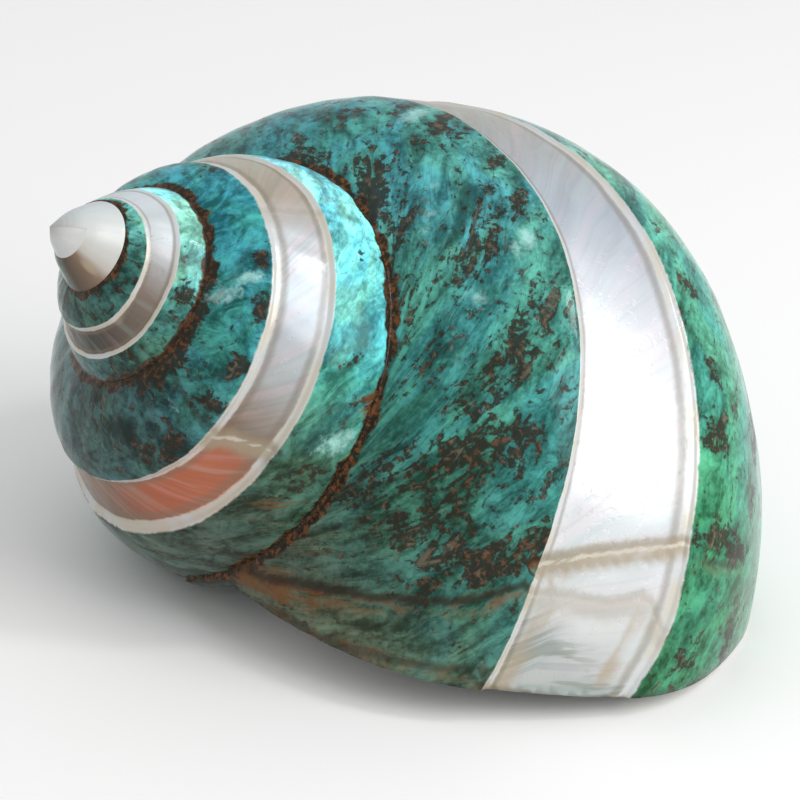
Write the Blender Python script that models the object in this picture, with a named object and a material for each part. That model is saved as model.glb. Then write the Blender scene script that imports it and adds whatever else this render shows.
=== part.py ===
"""A turban sea snail shell lying on its mouth, as one hollow solid in metres, +Z up.

The shell is a tube that winds round an axis. Growth is counted in turns, with turn 0
on the seam at the shell's front, and every section is drawn in the half plane that
turns round the axis: a radius out from the axis, and a depth below the tip.
"""

import math

import bmesh
import bpy
import numpy as np

MM = 0.001

# The seam between the whorls: radius and depth at turn 0, and their growth per turn
# (the second number eases the growth, because a real spiral isn't exactly even)
SEAM_RADIUS = 18.28
SEAM_DEPTH = 26.13
RADIUS_GROWTH = (0.650, -0.0855)
DEPTH_GROWTH = (0.929, 0.0362)
SEAM_ANGLE = math.radians(48.4)

# Before this turn the whorls of the tip grow evenly, as a cone with slightly full sides
TIP_TURN = -1.62
TIP_RADIUS_GROWTH = 0.63
TIP_DEPTH_GROWTH = 0.834

# How far a whorl swells out between its two seams, as a share of the distance between
# them: it grows with each turn, and the fullest part moves from the shoulder down
SWELL = 0.1753
SWELL_GROWTH = 0.667
SHOULDER = 0.096
SHOULDER_PER_TURN = -0.1545
BELLY_FLATNESS = 0.171

# The tip leans off the axis over its first millimetres
TIP_LENGTH = 3.63
TIP_LEAN = (1.59, 1.14, 1.05)

# The underside runs in from the last seam to the axis
BASE_DROP = 0.40
BASE_START_PULL = 1.15
BASE_END_PULL = 0.90
NEAR_SEAM = 0.999

# The mouth's flat rim: the tip's height over its plane, the axis away from its normal,
# and the way that the tip points
TIP_HEIGHT = 29.07
AXIS_TILT = math.radians(57.3)
AXIS_HEADING = math.radians(-142.2)

# The wall, the glaze over the whorl inside the mouth, and the pillar on the axis
WALL = 2.6
GLAZE = 0.35
PILLAR_RADIUS = 4.4
THIN_FROM_TURN = 0.80
THINNEST = 0.55

FIRST_TURN = -2.2
LAST_TURN = 1.10
INNER_LAST_TURN = 0.44
HOLLOW_FIRST_TURN = -0.35
HOLLOW_TAPER = 0.20
HOLLOW_OVERRUN = 0.03

# The hollow is measured from the middle between these two places of its walls
BELLY_SHARE = 0.8
INSIDE_SHARE = 0.35
LONGEST_REACH = 1.6

# How the shell lies: on the mouth's rim and on the belly of the whorl beside it
REST_TURN = (math.radians(-1.92), math.radians(5.65), math.radians(-2.59))
REST_PLACE = (-30.72, -15.06, 6.47)

# Mesh steps
STEPS_PER_TURN = 50
WHORL_STEPS = 10
BASE_STEPS = 8
HOLLOW_STEPS_PER_TURN = 30
HOLLOW_SIDES = 22
WALL_SAMPLES = 60
REACH_SAMPLES = 160

MOUTH_BLOCK = (200.0, 200.0, 90.0)

SHELL_COLOUR = (0.055, 0.205, 0.215, 1.0)
SHELL_ROUGHNESS = 0.12


def seam(turn):
    """Radius and depth of the seam at a turn."""
    late = np.maximum(turn, TIP_TURN)
    early = np.minimum(turn - TIP_TURN, 0.0)
    radius = RADIUS_GROWTH[0] * late + RADIUS_GROWTH[1] * late ** 2 + TIP_RADIUS_GROWTH * early
    depth = DEPTH_GROWTH[0] * late + DEPTH_GROWTH[1] * late ** 2 + TIP_DEPTH_GROWTH * early
    return SEAM_RADIUS * np.exp(radius), SEAM_DEPTH * np.exp(depth)


def whorl_section(turn, share):
    """Radius and depth on a whorl's outside, from its upper seam (0) to its lower one (1)."""
    upper_radius, upper_depth = seam(turn - 1.0)
    lower_radius, lower_depth = seam(turn)
    run = lower_radius - upper_radius
    fall = lower_depth - upper_depth
    shoulder = SHOULDER + SHOULDER_PER_TURN * turn
    bulge = SWELL * np.exp(SWELL_GROWTH * turn) * np.sin(math.pi * share) * (
        1.0 + shoulder * np.cos(math.pi * share) + BELLY_FLATNESS * np.cos(2 * math.pi * share))
    return upper_radius + run * share + fall * bulge, upper_depth + fall * share - run * bulge


def base_section(turn, share):
    """Radius and depth on the underside, from the seam (0) in to the axis (1)."""
    radius, depth = seam(turn)
    before_radius, before_depth = whorl_section(turn, NEAR_SEAM)
    slope = np.hypot(radius - before_radius, depth - before_depth)
    pull = BASE_START_PULL * radius / slope
    start_radius = (radius - before_radius) * pull
    start_depth = (depth - before_depth) * pull
    s = share
    from_start = 2 * s ** 3 - 3 * s ** 2 + 1
    to_end = 3 * s ** 2 - 2 * s ** 3
    leave = s ** 3 - 2 * s ** 2 + s
    arrive = s ** 3 - s ** 2
    end_depth = depth + BASE_DROP * radius
    return (
        from_start * radius + leave * start_radius - arrive * BASE_END_PULL * radius,
        from_start * depth + to_end * end_depth + leave * start_depth)


def place(radius, depth, turn):
    """Position in the mouth's frame of a point in the half plane at a turn, +Z off the rim."""
    angle = SEAM_ANGLE - 2 * math.pi * turn
    lean = np.exp(-np.maximum(depth, 0.0) / TIP_LENGTH)
    x = radius * np.cos(angle) + TIP_LEAN[0] * lean
    y = radius * np.sin(angle) + TIP_LEAN[1] * lean
    z = -depth + TIP_LEAN[2] * lean
    along = x * math.cos(AXIS_TILT) + z * math.sin(AXIS_TILT)
    return np.stack([
        along * math.cos(AXIS_HEADING) - y * math.sin(AXIS_HEADING),
        along * math.sin(AXIS_HEADING) + y * math.cos(AXIS_HEADING),
        TIP_HEIGHT + z * math.cos(AXIS_TILT) - x * math.sin(AXIS_TILT)], axis=-1)


def new_object(name, bm):
    """An object from a bmesh in millimetres, smooth shaded, with its faces out."""
    bmesh.ops.scale(bm, vec=(MM, MM, MM), verts=bm.verts)
    bmesh.ops.recalc_face_normals(bm, faces=bm.faces)
    mesh = bpy.data.meshes.new(name)
    bm.to_mesh(mesh)
    bm.free()
    mesh.shade_smooth()
    obj = bpy.data.objects.new(name, mesh)
    bpy.context.scene.collection.objects.link(obj)
    return obj


def make_winding(name, last_turn, thicker):
    """The shell's outside wound up to a turn, as a filled solid, with a layer added."""
    bm = bmesh.new()
    last = round((last_turn - FIRST_TURN) * STEPS_PER_TURN)
    turns = last_turn + (np.arange(last + 1) - last) / STEPS_PER_TURN
    shares = np.arange(WHORL_STEPS + 1) / WHORL_STEPS
    turn_grid, share_grid = np.meshgrid(turns, shares, indexing="ij")
    radius, depth = whorl_section(turn_grid, share_grid)
    points = place(radius + thicker, depth + thicker, turn_grid)

    # A whorl's lower seam is the next whorl's upper seam, so the two share their points
    whorl = []
    for i in range(last + 1):
        whorl.append([bm.verts.new(p) for p in points[i, :WHORL_STEPS]])
    for i in range(last + 1):
        if i + STEPS_PER_TURN <= last:
            whorl[i].append(whorl[i + STEPS_PER_TURN][0])
        else:
            whorl[i].append(bm.verts.new(points[i, WHORL_STEPS]))
    for a, b in zip(whorl, whorl[1:]):
        for j in range(WHORL_STEPS):
            bm.faces.new((a[j], b[j], b[j + 1], a[j + 1]))

    # The tip
    rim = [whorl[i][0] for i in range(STEPS_PER_TURN)] + whorl[0][:0:-1]
    tip = bm.verts.new(place(0.0, 0.0, FIRST_TURN))
    for a, b in zip(rim, rim[1:] + rim[:1]):
        bm.faces.new((a, b, tip))

    # The underside of the last turn
    first = last - STEPS_PER_TURN
    inward = np.arange(1, BASE_STEPS + 1) / BASE_STEPS
    base = []
    for i in range(first, last + 1):
        radius, depth = base_section(turns[i], inward)
        column = place(radius + thicker * (1.0 - inward), depth + thicker, turns[i])
        base.append([whorl[i][WHORL_STEPS]] + [bm.verts.new(p) for p in column])
    for a, b in zip(base, base[1:]):
        for k in range(BASE_STEPS):
            bm.faces.new((a[k], b[k], b[k + 1], a[k + 1]))

    # The flat end of the winding
    loop = whorl[last] + base[-1][1:] + [column[-1] for column in base[-2::-1]]
    loop += base[0][-2:0:-1]
    edges = []
    for a, b in zip(loop, loop[1:] + loop[:1]):
        edges.append(bm.edges.get((a, b)) or bm.edges.new((a, b)))
    bmesh.ops.triangle_fill(bm, edges=edges, use_beauty=True)
    return new_object(name, bm)


def distance_to(line, radius, depth):
    """Shortest distance from points to a line of samples, both in a half plane."""
    return np.min(np.hypot(radius[..., None] - line[0], depth[..., None] - line[1]), axis=-1)


def hollow_ring(turn):
    """The hollow's outline at a turn: as far out as the walls allow, round in the corners."""
    shares = np.linspace(0.0, 1.0, WALL_SAMPLES)
    outer = np.hstack([whorl_section(turn, shares), base_section(turn, shares)])
    inner = np.array(base_section(turn - 1.0, shares))
    size = seam(turn)[0] / seam(1.0)[0]
    thinning = np.clip((turn - THIN_FROM_TURN) / (LAST_TURN - THIN_FROM_TURN), 0.0, 1.0)
    belly = np.array(whorl_section(turn, BELLY_SHARE))
    inside = np.array(base_section(turn - 1.0, INSIDE_SHARE))
    centre = 0.5 * (belly + inside)
    reach = np.linspace(0.0, 1.0, REACH_SAMPLES) * seam(turn)[0] * LONGEST_REACH
    direction = 2 * math.pi * np.arange(HOLLOW_SIDES) / HOLLOW_SIDES
    lengths = np.empty(HOLLOW_SIDES)
    for k, angle in enumerate(direction):
        radius = centre[0] + reach * math.cos(angle)
        depth = centre[1] + reach * math.sin(angle)
        room = np.minimum(
            np.minimum(distance_to(outer, radius, depth) - WALL * size,
                       distance_to(inner, radius, depth) - 2 * GLAZE),
            radius - PILLAR_RADIUS * size * (1.0 - (1.0 - THINNEST) * thinning))
        stop = int(np.argmax(room <= 0.0))
        free = room[stop - 1] / (room[stop - 1] - room[stop])
        lengths[k] = reach[stop - 1] + free * (reach[stop] - reach[stop - 1])
    rounded = (np.roll(lengths, 1) + 2 * lengths + np.roll(lengths, -1)) / 4
    lengths = np.minimum(lengths, rounded)
    return centre, np.stack([np.cos(direction), np.sin(direction)]) * lengths


def make_hollow():
    """The hollow of the last whorls, from its closed end inside to past the mouth."""
    bm = bmesh.new()
    first = HOLLOW_FIRST_TURN
    last = LAST_TURN + HOLLOW_OVERRUN
    count = round((last - first) * HOLLOW_STEPS_PER_TURN)
    rings = []
    for turn in np.linspace(first, last, count + 1)[1:]:
        centre, outline = hollow_ring(turn)
        left = max(1.0 - (turn - first) / HOLLOW_TAPER, 0.0)
        outline = outline * math.sqrt(1.0 - left * left)
        points = place(centre[0] + outline[0], centre[1] + outline[1], turn)
        rings.append([bm.verts.new(p) for p in points])
    for a, b in zip(rings, rings[1:]):
        for k in range(HOLLOW_SIDES):
            after = (k + 1) % HOLLOW_SIDES
            bm.faces.new((a[k], a[after], b[after], b[k]))
    bm.faces.new(rings[0])
    bm.faces.new(rings[-1])
    return new_object("hollow_cutter", bm)


def make_mouth_block():
    """The block past the mouth's plane."""
    bm = bmesh.new()
    bmesh.ops.create_cube(bm, size=1.0)
    bmesh.ops.scale(bm, vec=MOUTH_BLOCK, verts=bm.verts)
    bmesh.ops.translate(bm, vec=(0.0, 0.0, -MOUTH_BLOCK[2] / 2), verts=bm.verts)
    return new_object("mouth_cutter", bm)


def cut(obj, cutter):
    """Take a cutter out of an object and keep the cutter as a guide."""
    modifier = obj.modifiers.new(cutter.name, "BOOLEAN")
    modifier.operation = "DIFFERENCE"
    modifier.solver = "EXACT"
    modifier.object = cutter
    cutter.hide_render = True
    cutter.display_type = "WIRE"


def shell_material():
    """Polished shell, deep blue green under a clear gloss."""
    material = bpy.data.materials.new("polished_shell")
    material.use_nodes = True
    shader = material.node_tree.nodes["Principled BSDF"]
    shader.inputs["Base Color"].default_value = SHELL_COLOUR
    shader.inputs["Roughness"].default_value = SHELL_ROUGHNESS
    shader.inputs["Metallic"].default_value = 0.0
    return material


for existing in list(bpy.data.objects):
    bpy.data.objects.remove(existing, do_unlink=True)

shell = make_winding("shell", LAST_TURN, 0.0)
shell.data.materials.append(shell_material())
earlier_shell = make_winding("earlier_shell_cutter", INNER_LAST_TURN, GLAZE)
mouth_block = make_mouth_block()
hollow = make_hollow()

rest = bpy.data.objects.new("rest", None)
rest.rotation_euler = REST_TURN
rest.location = [REST_PLACE[k] * MM for k in range(3)]
bpy.context.scene.collection.objects.link(rest)
for obj in (shell, earlier_shell, mouth_block, hollow):
    obj.parent = rest

# The mouth's plane ends the last whorl only: the belly of the whorl before it stays
cut(mouth_block, earlier_shell)
cut(shell, mouth_block)
cut(shell, hollow)
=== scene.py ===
"""The looks of a polished turban sea snail shell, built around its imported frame.

The shell's surface is worked out from two numbers: turn, how far the shell had grown,
and share, how far down a whorl a point lies, from its upper seam (0) to its lower one (1).
The underside goes on from share 1 to share 2 on the axis. Both are kept in a UV map, so
every mark lies where the shell grew it. Millimetres, until the mesh is made.
"""

import math

import bmesh
import bpy
import numpy as np
from mathutils import Matrix, Vector


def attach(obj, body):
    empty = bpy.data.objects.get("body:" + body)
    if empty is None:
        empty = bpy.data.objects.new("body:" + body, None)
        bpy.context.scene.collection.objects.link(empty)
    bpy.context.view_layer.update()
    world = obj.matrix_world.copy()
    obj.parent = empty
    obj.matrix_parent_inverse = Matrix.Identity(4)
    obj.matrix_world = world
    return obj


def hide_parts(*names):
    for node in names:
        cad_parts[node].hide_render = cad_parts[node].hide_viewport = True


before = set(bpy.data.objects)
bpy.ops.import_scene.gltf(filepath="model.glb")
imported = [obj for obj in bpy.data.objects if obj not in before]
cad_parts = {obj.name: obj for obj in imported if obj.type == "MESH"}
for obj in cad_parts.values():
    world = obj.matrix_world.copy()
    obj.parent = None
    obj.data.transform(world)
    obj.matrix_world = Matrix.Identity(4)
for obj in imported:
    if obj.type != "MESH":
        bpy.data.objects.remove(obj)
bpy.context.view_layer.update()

MM = 0.001

# The spiral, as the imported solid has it
SEAM_RADIUS = 18.28
SEAM_DEPTH = 26.13
RADIUS_GROWTH = (0.650, -0.0855)
DEPTH_GROWTH = (0.929, 0.0362)
SEAM_ANGLE = math.radians(48.4)
TIP_TURN = -1.62
TIP_RADIUS_GROWTH = 0.63
TIP_DEPTH_GROWTH = 0.834
SWELL = 0.1753
SWELL_GROWTH = 0.667
SHOULDER = 0.096
SHOULDER_PER_TURN = -0.1545
BELLY_FLATNESS = 0.171
TIP_LENGTH = 3.63
TIP_LEAN = (1.59, 1.14, 1.05)
BASE_DROP = 0.40
BASE_START_PULL = 1.15
BASE_END_PULL = 0.90
NEAR_SEAM = 0.999
TIP_HEIGHT = 29.07
AXIS_TILT = math.radians(57.3)
AXIS_HEADING = math.radians(-142.2)
WALL = 2.6
GLAZE = 0.35
PILLAR_RADIUS = 4.4
THIN_FROM_TURN = 0.80
THINNEST = 0.55
LAST_TURN = 1.10
INNER_LAST_TURN = 0.44
HOLLOW_FIRST_TURN = -0.35
HOLLOW_TAPER = 0.20
HOLLOW_OVERRUN = 0.03
BELLY_SHARE = 0.8
INSIDE_SHARE = 0.35
END_SHARE = 0.5
END_INSIDE_SHARE = 0.9
LONGEST_REACH = 1.6
REST_TURN = (math.radians(-1.92), math.radians(5.65), math.radians(-2.59))
REST_PLACE = (-30.72, -15.06, 6.47)
MOUTH_BLOCK = (200.0, 200.0, 90.0)

# Mesh steps
FIRST_TURN = -3.2
STEPS_PER_TURN = 300
BASE_STEPS = 28
HOLLOW_STEPS_PER_TURN = 120
HOLLOW_SIDES = 48
WALL_SAMPLES = 90
REACH_SAMPLES = 160
ROUNDINGS = 4
NARROWEST_ROW = 0.002

# The shares where the hollow's lining starts and on the mouth's rim, past the underside's 2
LINING_SHARE = 3.0
RIM_SHARE = 5.0

# The edges of the band of mother of pearl, as share at a turn
BAND_TOP = (
    (-1.6, 0.1), (-1.5, 0.06), (-1.4, 0.085), (-1.25, 0.2), (-1.15, 0.27), (-1.0, 0.35),
    (-0.8, 0.36), (-0.6, 0.32), (-0.45, 0.285), (-0.35, 0.285), (-0.25, 0.29), (-0.1, 0.345),
    (0.0, 0.38), (0.1, 0.385), (0.3, 0.36), (0.5, 0.33), (0.65, 0.33), (0.67, 0.317), (0.75, 0.33),
    (0.87, 0.343), (0.9, 0.355), (0.93, 0.38), (1.1, 0.42))
BAND_BOTTOM = (
    (-1.6, 0.25), (-1.5, 0.44), (-1.4, 0.58), (-1.3, 0.64), (-1.1, 0.665), (-1.0, 0.71),
    (-0.8, 0.69), (-0.6, 0.66), (-0.45, 0.655), (-0.3, 0.66), (-0.2, 0.655), (-0.1, 0.665),
    (0.0, 0.68), (0.08, 0.67), (0.3, 0.64), (0.5, 0.59), (0.67, 0.59), (0.75, 0.62), (0.8, 0.64),
    (0.83, 0.655), (0.85, 0.655), (0.88, 0.69), (0.9, 0.66), (1.1, 0.67))
BAND_STARTS = (-1.62, -1.50)
BAND_DEPTHS = (
    (-1.6, 0.12), (-1.1, 0.35), (-0.6, 0.25), (-0.3, 0.22), (-0.08, 0.3), (0.04, 0.55), (0.15, 0.5),
    (0.4, 0.3), (0.6, 0.18), (0.85, 0.2), (0.92, 0.3), (1.1, 0.25))
BAND_EDGE = 0.5
RIM_WIDTH = 0.9
GROOVE_DEPTH = 0.22
GROOVE_WIDTH = 0.35
GROOVE_STARTS = (-2.9, -2.6)
TIP_SIZE = 0.1
LAST_COVERED = (0.06, 0.12)

# Low waves of growth: height in millimetres, and waves per turn with their slant
WAVE_HEIGHT = 0.022
WAVES = ((19.0, 3.0, 0.7), (37.0, -5.0, 0.6), (7.0, 2.0, 1.2))

# Creases: where each runs, as share and turn, then its strength. Neighbours are kept apart
# in two sets
CREASES = (
    (((0.34, 0.886), (0.44, 0.871), (0.54, 0.859), (0.65, 0.848)), 1.0),
    (((0.01, 1.025), (0.05, 0.99), (0.1, 0.964), (0.17, 0.939), (0.25, 0.92), (0.34, 0.897)),
     0.9),
    (((0.4, -0.033), (0.45, -0.044), (0.54, -0.053), (0.62, -0.061), (0.68, -0.061)), 0.9),
    (((0.3, -0.276), (0.6, -0.28), (0.92, -0.285)), 0.3),
    (((0.04, -0.11), (0.12, -0.178), (0.22, -0.23)), 0.35),
    (((0.7, 0.852), (0.85, 0.844)), 0.6))
MORE_CREASES = (
    (((0.02, 1.045), (0.07, 1.008), (0.13, 0.986), (0.19, 0.967), (0.25, 0.953), (0.36, 0.932)),
     0.6),
    (((0.36, 0.897), (0.44, 0.889), (0.52, 0.883), (0.6, 0.872), (0.66, 0.88)), 0.45),
    (((0.38, 0.938), (0.55, 0.921), (0.69, 0.904)), 0.8),
    (((0.1, -0.028), (0.25, -0.03), (0.37, -0.034)), 0.6))
CREASE_WIDTH = 0.38
CREASE_DEPTH = 0.14
CREASE_REACH = (1.5, 2.3)
CREASE_FAR = 3.0
CREASE_FADE = 0.03
CREASE_SLOPE_STEP = 0.01
SLOPE_STEP = 0.002
NO_SEAM = 30.0
SOFTENING = (-0.016, -0.008, 0.0, 0.008, 0.016)


def seam(turn):
    """Radius and depth of the seam at a turn."""
    late = np.maximum(turn, TIP_TURN)
    early = np.minimum(turn - TIP_TURN, 0.0)
    radius = RADIUS_GROWTH[0] * late + RADIUS_GROWTH[1] * late ** 2 + TIP_RADIUS_GROWTH * early
    depth = DEPTH_GROWTH[0] * late + DEPTH_GROWTH[1] * late ** 2 + TIP_DEPTH_GROWTH * early
    return SEAM_RADIUS * np.exp(radius), SEAM_DEPTH * np.exp(depth)


def whorl_section(turn, share):
    """Radius and depth on a whorl's outside, from its upper seam (0) to its lower one (1)."""
    upper_radius, upper_depth = seam(turn - 1.0)
    lower_radius, lower_depth = seam(turn)
    run = lower_radius - upper_radius
    fall = lower_depth - upper_depth
    shoulder = SHOULDER + SHOULDER_PER_TURN * turn
    bulge = SWELL * np.exp(SWELL_GROWTH * turn) * np.sin(math.pi * share) * (
        1.0 + shoulder * np.cos(math.pi * share) + BELLY_FLATNESS * np.cos(2 * math.pi * share))
    return upper_radius + run * share + fall * bulge, upper_depth + fall * share - run * bulge


def base_section(turn, share):
    """Radius and depth on the underside, from the seam (0) in to the axis (1)."""
    radius, depth = seam(turn)
    before_radius, before_depth = whorl_section(turn, NEAR_SEAM)
    slope = np.hypot(radius - before_radius, depth - before_depth)
    pull = BASE_START_PULL * radius / slope
    start_radius = (radius - before_radius) * pull
    start_depth = (depth - before_depth) * pull
    s = share
    from_start = 2 * s ** 3 - 3 * s ** 2 + 1
    to_end = 3 * s ** 2 - 2 * s ** 3
    leave = s ** 3 - 2 * s ** 2 + s
    arrive = s ** 3 - s ** 2
    end_depth = depth + BASE_DROP * radius
    return (
        from_start * radius + leave * start_radius - arrive * BASE_END_PULL * radius,
        from_start * depth + to_end * end_depth + leave * start_depth)


def place(radius, depth, turn):
    """Position in the mouth's frame of a point in the half plane at a turn, +Z off the rim."""
    angle = SEAM_ANGLE - 2 * math.pi * turn
    lean = np.exp(-np.maximum(depth, 0.0) / TIP_LENGTH)
    x = radius * np.cos(angle) + TIP_LEAN[0] * lean
    y = radius * np.sin(angle) + TIP_LEAN[1] * lean
    z = -depth + TIP_LEAN[2] * lean
    along = x * math.cos(AXIS_TILT) + z * math.sin(AXIS_TILT)
    return np.stack([
        along * math.cos(AXIS_HEADING) - y * math.sin(AXIS_HEADING),
        along * math.sin(AXIS_HEADING) + y * math.cos(AXIS_HEADING),
        TIP_HEIGHT + z * math.cos(AXIS_TILT) - x * math.sin(AXIS_TILT)], axis=-1)


def smooth_step(low, high, value):
    """Soft step from 0 at low to 1 at high."""
    t = np.clip((value - low) / (high - low), 0.0, 1.0)
    return t * t * (3.0 - 2.0 * t)


def smooth_line(points, at):
    """A soft curve through points: straight pieces, averaged over a short stretch."""
    turns, values = np.array(points).T
    return sum(np.interp(at + offset, turns, values) for offset in SOFTENING) / len(SOFTENING)


def section_length(turn):
    """Length of a whorl's section from seam to seam, in millimetres."""
    upper_radius, upper_depth = seam(turn - 1.0)
    lower_radius, lower_depth = seam(turn)
    return np.hypot(lower_radius - upper_radius, lower_depth - upper_depth)


def band_distances(turn, share):
    """Distance below the band's top edge and above its bottom edge, in millimetres."""
    length = section_length(turn)
    return (share - smooth_line(BAND_TOP, turn)) * length, (
        smooth_line(BAND_BOTTOM, turn) - share) * length


def length_per_turn(turn, share):
    """Length of the way around at a share, in millimetres per turn."""
    return 2 * math.pi * whorl_section(turn, share)[0]


def crease_offset(creases, turn, share):
    """Distance past the nearest crease, in millimetres, and how strong that crease is."""
    nearest = np.full_like(turn, CREASE_FAR)
    strength = np.zeros_like(turn)
    around = length_per_turn(turn, share)
    length = section_length(turn)
    for points, depth in creases:
        shares, turns = np.array(points).T
        after = np.interp(share + CREASE_SLOPE_STEP, shares, turns)
        before = np.interp(share - CREASE_SLOPE_STEP, shares, turns)
        slope = (after - before) / (2 * CREASE_SLOPE_STEP) * around / length
        offset = (turn - np.interp(share, shares, turns)) * around / np.hypot(1.0, slope)
        ends = smooth_step(shares[0] - CREASE_FADE, shares[0], share) * (
            1.0 - smooth_step(shares[-1], shares[-1] + CREASE_FADE, share))
        here = (np.abs(offset) < np.abs(nearest)) & (ends > 0.0)
        nearest = np.where(here, offset, nearest)
        strength = np.where(
            here, depth * ends * (1.0 - smooth_step(*CREASE_REACH, np.abs(offset))), strength)
    return nearest, strength


def relief(turn, share):
    """How far the polished surface stands off the plain whorl, in millimetres."""
    below_top, above_bottom = band_distances(turn, share)
    size = seam(turn)[0] / SEAM_RADIUS
    there = smooth_step(*BAND_STARTS, turn)
    inside = smooth_step(0.0, BAND_EDGE, below_top) * smooth_step(0.0, BAND_EDGE, above_bottom)
    crease = 0.0
    for creases in (CREASES, MORE_CREASES):
        offset, strength = crease_offset(creases, turn, share)
        crease = crease + CREASE_DEPTH * strength * np.exp(-(offset / CREASE_WIDTH) ** 2)
    waves = 0.0
    for count, slant, part in WAVES:
        waves = waves + part * np.sin(2 * math.pi * count * turn + slant * share)
    crease = crease - WAVE_HEIGHT * size * waves * there
    depth = np.interp(turn, *np.array(BAND_DEPTHS).T)
    return -depth * np.sqrt(size) * inside * there - crease


def uncovered(turn):
    """One where no later whorl lies against the lower seam, else nothing."""
    return smooth_step(*LAST_COVERED, turn)


def outside_points(turn, share):
    """The whorl's outside with its relief and the groove along the seams."""
    radius, depth = whorl_section(turn, share)
    radius_after, depth_after = whorl_section(turn, share + SLOPE_STEP)
    radius_before, depth_before = whorl_section(turn, share - SLOPE_STEP)
    along = np.hypot(radius_after - radius_before, depth_after - depth_before)
    out_radius = (depth_after - depth_before) / along
    out_depth = -(radius_after - radius_before) / along
    height = relief(turn, share)
    length = section_length(turn)
    to_seam = np.minimum(share, 1.0 - share + uncovered(turn)) * length
    size = np.minimum(seam(turn - 0.5)[0] / SEAM_RADIUS, 1.0)
    seam_turn = np.where(share < 0.5, turn - 1.0, turn)
    size = np.where(seam_turn < GROOVE_STARTS[0], TIP_SIZE, size)
    grown = smooth_step(*GROOVE_STARTS, seam_turn)
    groove = grown * GROOVE_DEPTH * size * np.exp(-(to_seam / (GROOVE_WIDTH * size)) ** 2)
    return place(radius + height * out_radius - groove, depth + height * out_depth, turn)


def share_rows(turns):
    """Shares of the mesh's rows at each turn, close together at the band's edges."""
    top = smooth_line(BAND_TOP, turns)
    bottom = smooth_line(BAND_BOTTOM, turns)
    edge = BAND_EDGE / section_length(turns)
    rim = RIM_WIDTH / section_length(turns)
    zero = np.zeros_like(turns)
    stations = (
        (zero, 0), (zero + 0.015, 3), (zero + 0.04, 2), (top - edge, 9), (top, 2),
        (top + edge, 4), (bottom - edge, 12), (bottom, 4), (bottom + rim, 3),
        (zero + 0.96, 7), (zero + 0.985, 2), (zero + 1.0, 3))
    columns = [zero[:, None]]
    before = zero
    for here, count in stations[1:]:
        here = np.maximum(here, before + NARROWEST_ROW)
        for k in range(1, count + 1):
            columns.append((before + (here - before) * k / count)[:, None])
        before = here
    return np.minimum(np.hstack(columns), 1.0)


def mesh_object(name, vertices, faces, growth, materials):
    """An object from points in the mouth's frame, with turn and share in a UV map."""
    mesh = bpy.data.meshes.new(name)
    mesh.from_pydata((np.asarray(vertices) * MM).tolist(), [], faces)
    layer = mesh.uv_layers.new(name="growth")
    flat = np.concatenate([np.asarray(g, float) for g in growth]).astype(np.float32)
    layer.data.foreach_set("uv", flat.ravel())
    faces_out = bmesh.new()
    faces_out.from_mesh(mesh)
    bmesh.ops.recalc_face_normals(faces_out, faces=faces_out.faces)
    faces_out.to_mesh(mesh)
    faces_out.free()
    for material in materials:
        mesh.materials.append(material)
    mesh.shade_smooth()
    obj = bpy.data.objects.new(name, mesh)
    obj.rotation_euler = REST_TURN
    obj.location = [value * MM for value in REST_PLACE]
    bpy.context.scene.collection.objects.link(obj)
    return obj


def cells(grid):
    """What a grid holds at the four corners of each of its cells, once around."""
    corners = grid[:-1, :-1], grid[1:, :-1], grid[1:, 1:], grid[:-1, 1:]
    return np.stack(corners, axis=2).reshape(-1, 4, *grid.shape[2:]).tolist()


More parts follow.
